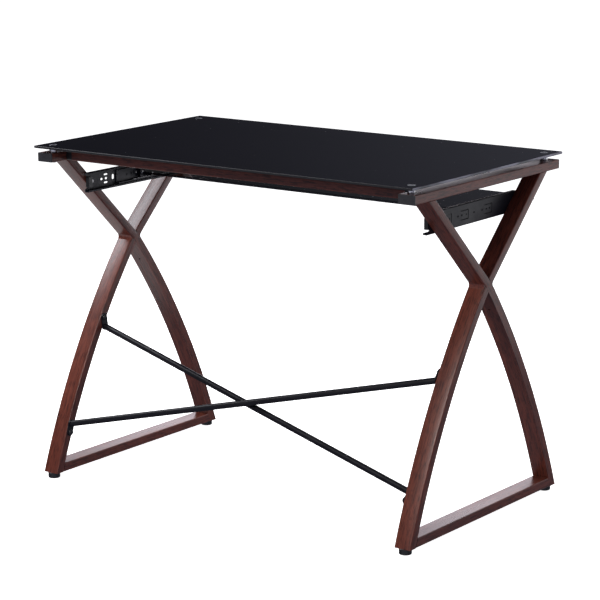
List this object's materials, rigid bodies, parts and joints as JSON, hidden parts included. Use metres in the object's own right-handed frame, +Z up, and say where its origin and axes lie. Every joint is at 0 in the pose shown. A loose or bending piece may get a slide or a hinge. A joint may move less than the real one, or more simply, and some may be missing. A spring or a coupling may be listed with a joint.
{
  "type": "computer desk",
  "caption": "Computer desk with a black glass top on X-shaped walnut-finish tube frames, a crossed rear brace and a keyboard tray on telescopic slides.",
  "frame": {"origin": "on the floor, under the middle of the glass top", "axes": "+X along the desk's width, +Y towards the seated user (the tray pulls out that way, the crossed brace is at -Y), +Z up"},
  "size_m": [1, 0.59, 0.76],
  "materials": {
    "black_glass": "back-painted black tempered glass, polished",
    "walnut_steel": "satin red walnut grain printed on steel tube",
    "cap_metal": "satin grey",
    "chrome": "polished",
    "screw_steel": "zinc plated",
    "ball_steel": "polished balls in plated strip",
    "textured_plastic": "fine texture, charcoal",
    "black_plastic": "satin black",
    "slide_steel": "black coated, satin",
    "rod_steel": "black powder coat, satin",
    "black_bolt": "black oxide",
    "clear_pad": "clear soft pad"
  },
  "bodies": {
    "root": {"beam_screws": "screw_steel", "brace_bolts": "black_bolt", "brace_rod_falling": "rod_steel", "brace_rod_rising": "rod_steel", "front_beam_connectors": "black_plastic", "front_cross_beam": "walnut_steel", "glass_bolts": "screw_steel", "glass_pads": "clear_pad", "glass_spacers": "chrome", "glass_top": "black_glass", "left_bottom_tube": "walnut_steel", "left_front_foot": "black_plastic", "left_front_lower_leg": "walnut_steel", "left_front_upper_leg": "walnut_steel", "left_rear_foot": "black_plastic", "left_rear_lower_leg": "walnut_steel", "left_rear_upper_leg": "walnut_steel", "left_slide_outer": "slide_steel", "left_slide_stop": "black_plastic", "left_top_front_cap": "textured_plastic", "left_top_rear_cap": "textured_plastic", "left_top_tube": "walnut_steel", "rear_beam_connectors": "black_plastic", "rear_cross_beam": "walnut_steel", "right_bottom_tube": "walnut_steel", "right_front_foot": "black_plastic", "right_front_lower_leg": "walnut_steel", "right_front_upper_leg": "walnut_steel", "right_rear_foot": "black_plastic", "right_rear_lower_leg": "walnut_steel", "right_rear_upper_leg": "walnut_steel", "right_slide_outer": "slide_steel", "right_slide_stop": "black_plastic", "right_top_front_cap": "textured_plastic", "right_top_rear_cap": "textured_plastic", "right_top_tube": "walnut_steel", "slide_front_screws": "screw_steel", "slide_rear_screws": "screw_steel", "top_caps": "cap_metal"},
    "tray": {"tray_panel": "black_glass", "tray_pads": "clear_pad", "tray_bracket_screws": "screw_steel", "slide_end_rivets": "chrome", "left_slide_inner": "slide_steel", "left_tray_bracket": "slide_steel", "right_slide_inner": "slide_steel", "right_tray_bracket": "slide_steel"},
    "left_middle": {"left_slide_middle": "slide_steel"},
    "left_outer_balls": {"left_outer_cage": "ball_steel"},
    "left_inner_balls": {"left_inner_cage": "ball_steel"},
    "right_middle": {"right_slide_middle": "slide_steel"},
    "right_outer_balls": {"right_outer_cage": "ball_steel"},
    "right_inner_balls": {"right_inner_cage": "ball_steel"}
  },
  "joints": [
    {"name": "tray_slide", "type": "slide", "parent": "root", "child": "tray", "axis": [0, 1, 0], "range_m": [-0.155, 0.19]},
    {"name": "left_middle_slide", "type": "slide", "parent": "root", "child": "left_middle", "axis": [0, 1, 0], "range_m": [-0.0785, 0.096]},
    {"name": "left_outer_balls_slide", "type": "slide", "parent": "root", "child": "left_outer_balls", "axis": [0, 1, 0], "range_m": [-0.03975, 0.0485]},
    {"name": "left_inner_balls_slide", "type": "slide", "parent": "root", "child": "left_inner_balls", "axis": [0, 1, 0], "range_m": [-0.11725, 0.1435]},
    {"name": "right_middle_slide", "type": "slide", "parent": "root", "child": "right_middle", "axis": [0, 1, 0], "range_m": [-0.0785, 0.096]},
    {"name": "right_outer_balls_slide", "type": "slide", "parent": "root", "child": "right_outer_balls", "axis": [0, 1, 0], "range_m": [-0.03975, 0.0485]},
    {"name": "right_inner_balls_slide", "type": "slide", "parent": "root", "child": "right_inner_balls", "axis": [0, 1, 0], "range_m": [-0.11725, 0.1435]}
  ],
  "couplings": [
    {"joint": "left_middle_slide", "follows": "tray_slide", "ratio": 0.5},
    {"joint": "left_outer_balls_slide", "follows": "tray_slide", "ratio": 0.25},
    {"joint": "left_inner_balls_slide", "follows": "tray_slide", "ratio": 0.75},
    {"joint": "right_middle_slide", "follows": "tray_slide", "ratio": 0.5},
    {"joint": "right_outer_balls_slide", "follows": "tray_slide", "ratio": 0.25},
    {"joint": "right_inner_balls_slide", "follows": "tray_slide", "ratio": 0.75}
  ]
}
